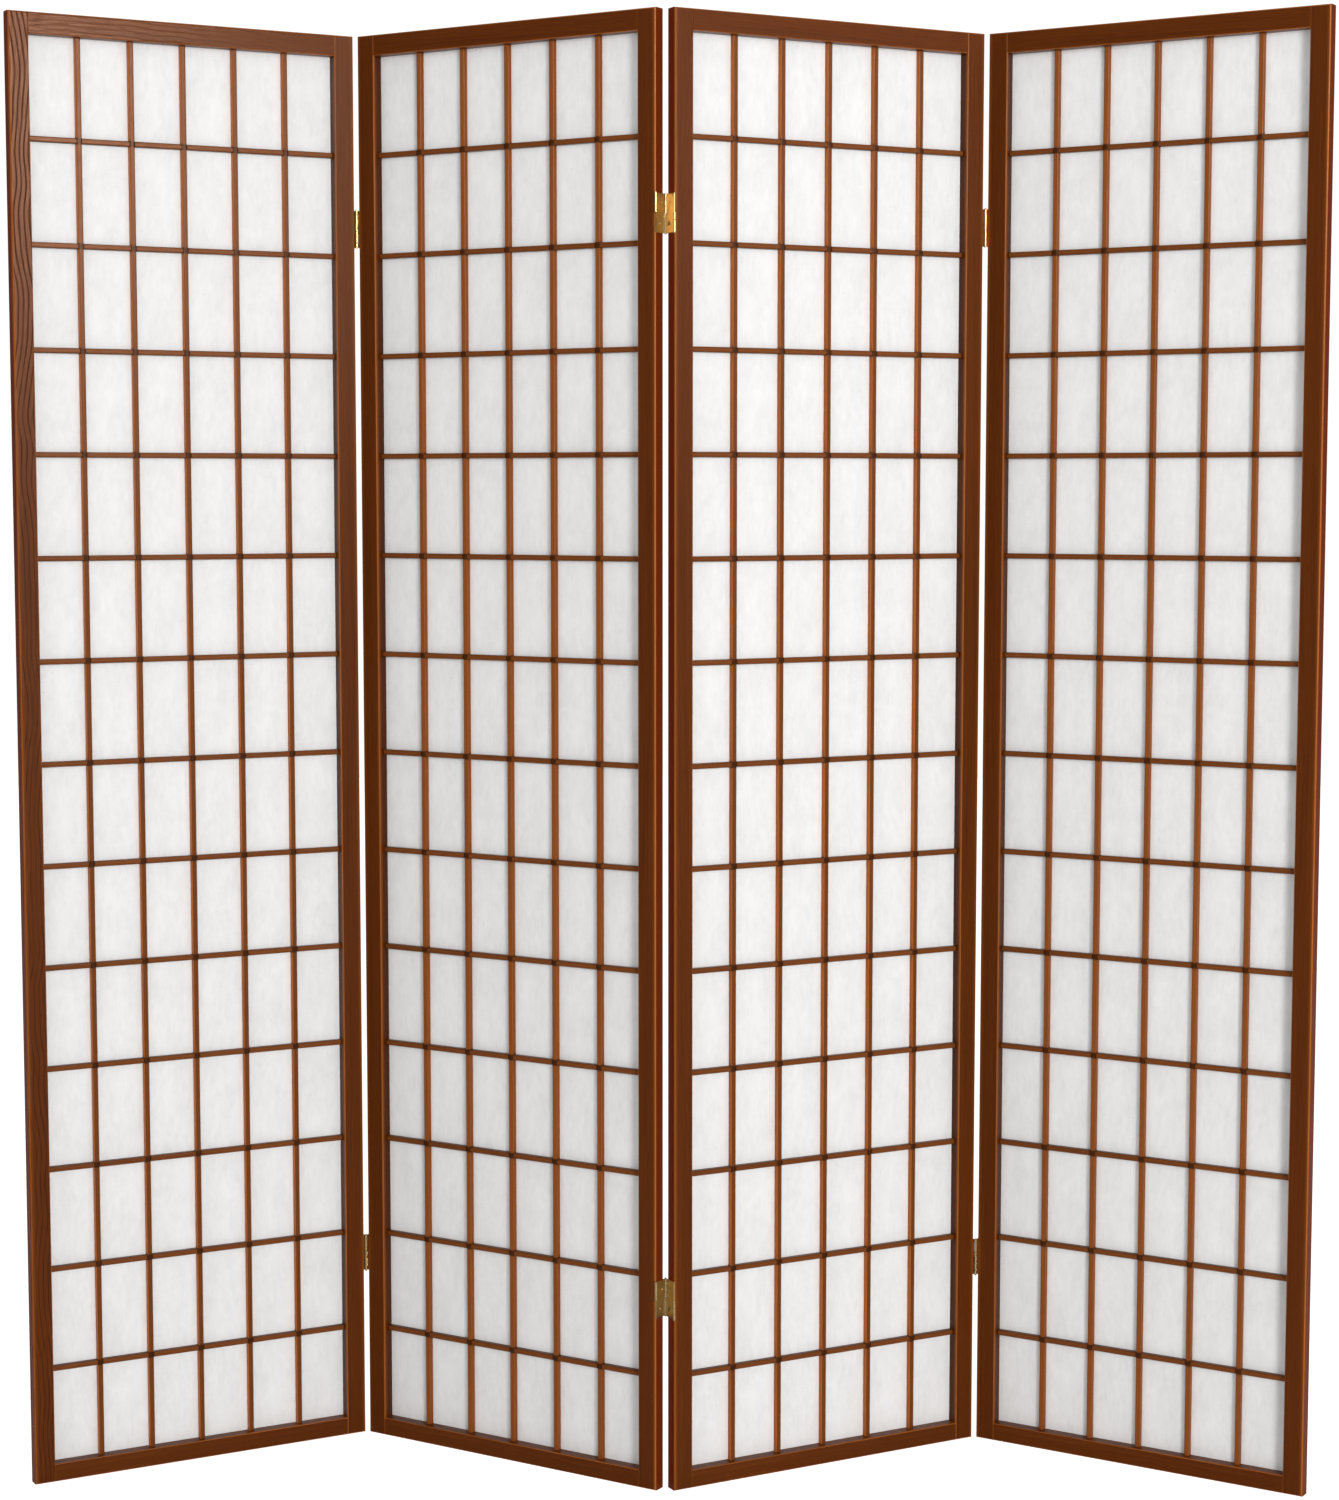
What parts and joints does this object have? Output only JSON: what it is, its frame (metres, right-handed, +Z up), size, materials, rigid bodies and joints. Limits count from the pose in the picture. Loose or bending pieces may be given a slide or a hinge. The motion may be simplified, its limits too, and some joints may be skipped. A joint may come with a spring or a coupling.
{
  "type": "folding shoji screen",
  "caption": "Free-standing folding shoji screen: hinged wooden panels with half-lapped lattice over white paper, standing in a zigzag.",
  "frame": {"origin": "on the floor at the middle of the standing screen's footprint", "axes": "+Z up, +X along the screen, +Y from its front to its back"},
  "size_m": [1.5666, 0.2432, 1.784],
  "materials": {
    "frame_wood": "satin walnut stain",
    "lattice_wood": "satin walnut stain",
    "paper": "matt fibrous",
    "hinge_brass": "polished",
    "screw_brass": "polished"
  },
  "bodies": {
    "panel_1": {"panel_1_left_stile": "frame_wood", "panel_1_right_stile": "frame_wood", "panel_1_top_rail": "frame_wood", "panel_1_bottom_rail": "frame_wood", "panel_1_lattice_uprights": "lattice_wood", "panel_1_lattice_crossbars": "lattice_wood", "panel_1_paper": "paper", "panel_1_hinge_screws": "screw_brass", "panel_1_hinge_pins": "hinge_brass", "fold_1_upper_hinge_left_leaf": "hinge_brass", "fold_1_upper_hinge_lower_link": "hinge_brass", "fold_1_lower_hinge_left_leaf": "hinge_brass", "fold_1_lower_hinge_lower_link": "hinge_brass"},
    "panel_2": {"panel_2_left_stile": "frame_wood", "panel_2_right_stile": "frame_wood", "panel_2_top_rail": "frame_wood", "panel_2_bottom_rail": "frame_wood", "panel_2_lattice_uprights": "lattice_wood", "panel_2_lattice_crossbars": "lattice_wood", "panel_2_paper": "paper", "panel_2_hinge_screws": "screw_brass", "panel_2_hinge_pins": "hinge_brass", "fold_1_upper_hinge_right_leaf": "hinge_brass", "fold_1_upper_hinge_upper_link": "hinge_brass", "fold_1_lower_hinge_right_leaf": "hinge_brass", "fold_1_lower_hinge_upper_link": "hinge_brass", "fold_2_upper_hinge_left_leaf": "hinge_brass", "fold_2_upper_hinge_upper_link": "hinge_brass", "fold_2_lower_hinge_left_leaf": "hinge_brass", "fold_2_lower_hinge_upper_link": "hinge_brass"},
    "panel_3": {"panel_3_left_stile": "frame_wood", "panel_3_right_stile": "frame_wood", "panel_3_top_rail": "frame_wood", "panel_3_bottom_rail": "frame_wood", "panel_3_lattice_uprights": "lattice_wood", "panel_3_lattice_crossbars": "lattice_wood", "panel_3_paper": "paper", "panel_3_hinge_screws": "screw_brass", "panel_3_hinge_pins": "hinge_brass", "fold_2_upper_hinge_right_leaf": "hinge_brass", "fold_2_upper_hinge_lower_link": "hinge_brass", "fold_2_lower_hinge_right_leaf": "hinge_brass", "fold_2_lower_hinge_lower_link": "hinge_brass", "fold_3_upper_hinge_left_leaf": "hinge_brass", "fold_3_upper_hinge_lower_link": "hinge_brass", "fold_3_lower_hinge_left_leaf": "hinge_brass", "fold_3_lower_hinge_lower_link": "hinge_brass"},
    "panel_4": {"panel_4_left_stile": "frame_wood", "panel_4_right_stile": "frame_wood", "panel_4_top_rail": "frame_wood", "panel_4_bottom_rail": "frame_wood", "panel_4_lattice_uprights": "lattice_wood", "panel_4_lattice_crossbars": "lattice_wood", "panel_4_paper": "paper", "panel_4_hinge_screws": "screw_brass", "panel_4_hinge_pins": "hinge_brass", "fold_3_upper_hinge_right_leaf": "hinge_brass", "fold_3_upper_hinge_upper_link": "hinge_brass", "fold_3_lower_hinge_right_leaf": "hinge_brass", "fold_3_lower_hinge_upper_link": "hinge_brass"}
  },
  "joints": [
    {"name": "fold_1", "type": "hinge", "parent": "panel_2", "child": "panel_1", "pos_m": [-0.39328, 0.10071, 0.892], "axis": [0, 0, -1], "range_deg": [-118, 60]},
    {"name": "fold_2", "type": "hinge", "parent": "panel_2", "child": "panel_3", "pos_m": [0, -0.10071, 0.892], "axis": [0, 0, -1], "range_deg": [-118, 60]},
    {"name": "fold_3", "type": "hinge", "parent": "panel_3", "child": "panel_4", "pos_m": [0.39328, 0.10071, 0.892], "axis": [0, 0, 1], "range_deg": [-118, 60]}
  ]
}
